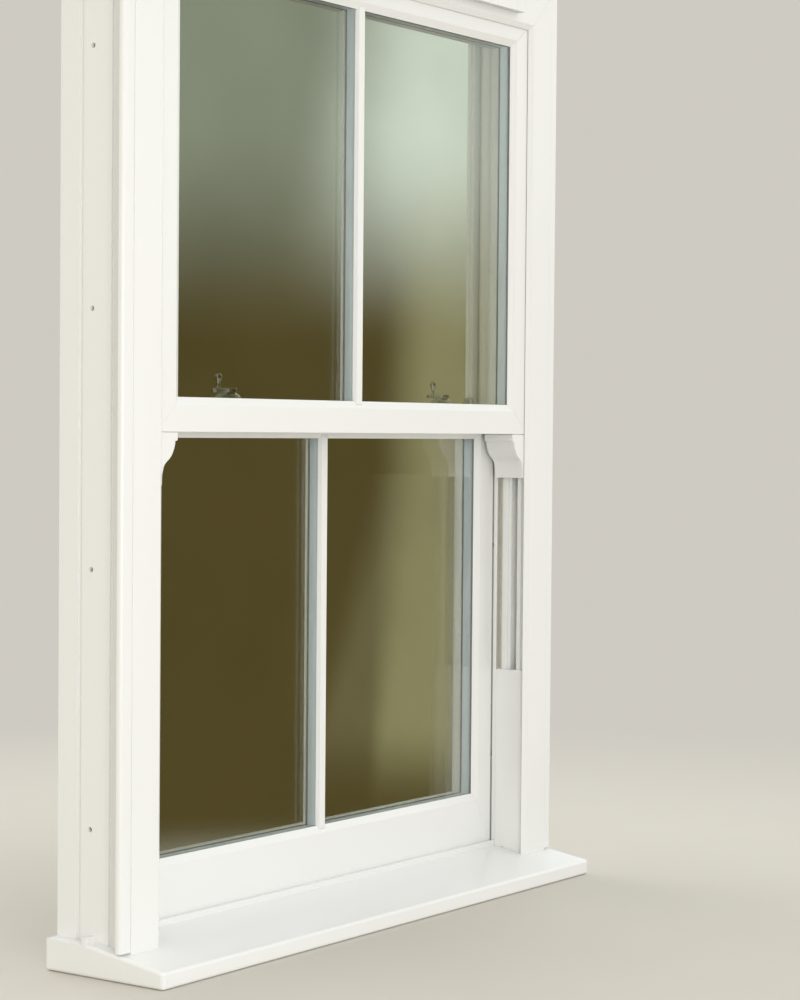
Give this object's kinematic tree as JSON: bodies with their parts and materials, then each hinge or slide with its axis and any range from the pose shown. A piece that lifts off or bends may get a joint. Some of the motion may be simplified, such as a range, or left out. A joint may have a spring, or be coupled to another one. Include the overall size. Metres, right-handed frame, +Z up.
{
  "type": "sash window",
  "caption": "White plastic vertical sliding sash window, each sash double glazed with a glazing bar, with horns, sloping sill, sash locks, tilt knobs and trickle vent.",
  "frame": {"origin": "on the centre line of the window, under the outside face of the frame, on the underside of the sill", "axes": "+X to the right seen from outside, +Y from outside to inside, +Z up"},
  "size_m": [1.386, 0.286, 1.872],
  "materials": {
    "upvc": "smooth white plastic profile with a soft sheen",
    "glass": "clear float glass that reads dark from outside",
    "spacer": "satin silver",
    "gasket": "grey flexible seal",
    "pile": "short grey pile",
    "white_nylon": "moulded, satin",
    "steel": "plated",
    "chrome": "polished"
  },
  "bodies": {
    "frame": {"frame_head": "upvc", "frame_jamb_left": "upvc", "frame_jamb_right": "upvc", "sill": "upvc", "sill_end_cap_left": "upvc", "sill_end_cap_right": "upvc", "jamb_cover_left": "upvc", "jamb_cover_right": "upvc", "jamb_trim_left": "upvc", "jamb_trim_right": "upvc", "brush_seals": "pile", "upper_balance_tubes": "white_nylon", "lower_balance_tubes": "white_nylon", "vent_hood": "upvc", "vent_body": "upvc"},
    "vent_flap": {"vent_flap": "upvc"},
    "upper_sash": {"upper_stile_left": "upvc", "upper_stile_right": "upvc", "upper_top_rail": "upvc", "upper_meeting_rail": "upvc", "horn_left": "upvc", "horn_right": "upvc", "upper_pane_outer": "glass", "upper_pane_inner": "glass", "upper_spacer_bars": "spacer", "upper_gaskets": "gasket", "upper_beads": "upvc", "upper_bar_outside": "upvc", "upper_bar_inside": "upvc", "interlock": "upvc", "meeting_brush": "pile", "lock_keepers": "chrome", "upper_shoes": "white_nylon", "upper_rods": "steel", "upper_pivot_plates": "steel"},
    "lower_carriage": {"lower_shoes": "white_nylon", "lower_rods": "steel"},
    "lower_sash": {"lower_stile_left": "upvc", "lower_stile_right": "upvc", "lower_top_rail": "upvc", "lower_bottom_rail": "upvc", "lower_pane_outer": "glass", "lower_pane_inner": "glass", "lower_spacer_bars": "spacer", "lower_gaskets": "gasket", "lower_beads": "upvc", "lower_bar_outside": "upvc", "lower_bar_inside": "upvc", "lower_pivot_plates": "steel", "lock_base_left": "chrome", "lock_base_right": "chrome", "sash_lifts": "chrome"},
    "lock_left": {"lock_arm_left": "chrome"},
    "lock_right": {"lock_arm_right": "chrome"},
    "tilt_latch_left": {"tilt_latch_left": "chrome"},
    "tilt_latch_right": {"tilt_latch_right": "chrome"}
  },
  "joints": [
    {"name": "upper_slide", "type": "slide", "parent": "frame", "child": "upper_sash", "axis": [0, 0, 1], "range_m": [-0.404, 0]},
    {"name": "lower_slide", "type": "slide", "parent": "frame", "child": "lower_carriage", "axis": [0, 0, 1], "range_m": [0, 0.65]},
    {"name": "lower_tilt", "type": "hinge", "parent": "lower_carriage", "child": "lower_sash", "pos_m": [0, 0.148, 0.07152], "axis": [-1, 0, 0], "range_deg": [0, 80]},
    {"name": "lock_left_turn", "type": "hinge", "parent": "lower_sash", "child": "lock_left", "pos_m": [-0.283, 0.112, 1.004], "axis": [0, 0, 1], "range_deg": [0, 90]},
    {"name": "lock_right_turn", "type": "hinge", "parent": "lower_sash", "child": "lock_right", "pos_m": [0.418, 0.112, 1.004], "axis": [0, 0, 1], "range_deg": [0, 90]},
    {"name": "tilt_latch_left_slide", "type": "slide", "parent": "lower_sash", "child": "tilt_latch_left", "axis": [-1, 0, 0], "range_m": [0, 0.014]},
    {"name": "tilt_latch_right_slide", "type": "slide", "parent": "lower_sash", "child": "tilt_latch_right", "axis": [1, 0, 0], "range_m": [0, 0.014]},
    {"name": "vent_flap_turn", "type": "hinge", "parent": "frame", "child": "vent_flap", "pos_m": [0, 0.181, 1.8605], "axis": [1, 0, 0], "range_deg": [0, 60]}
  ]
}
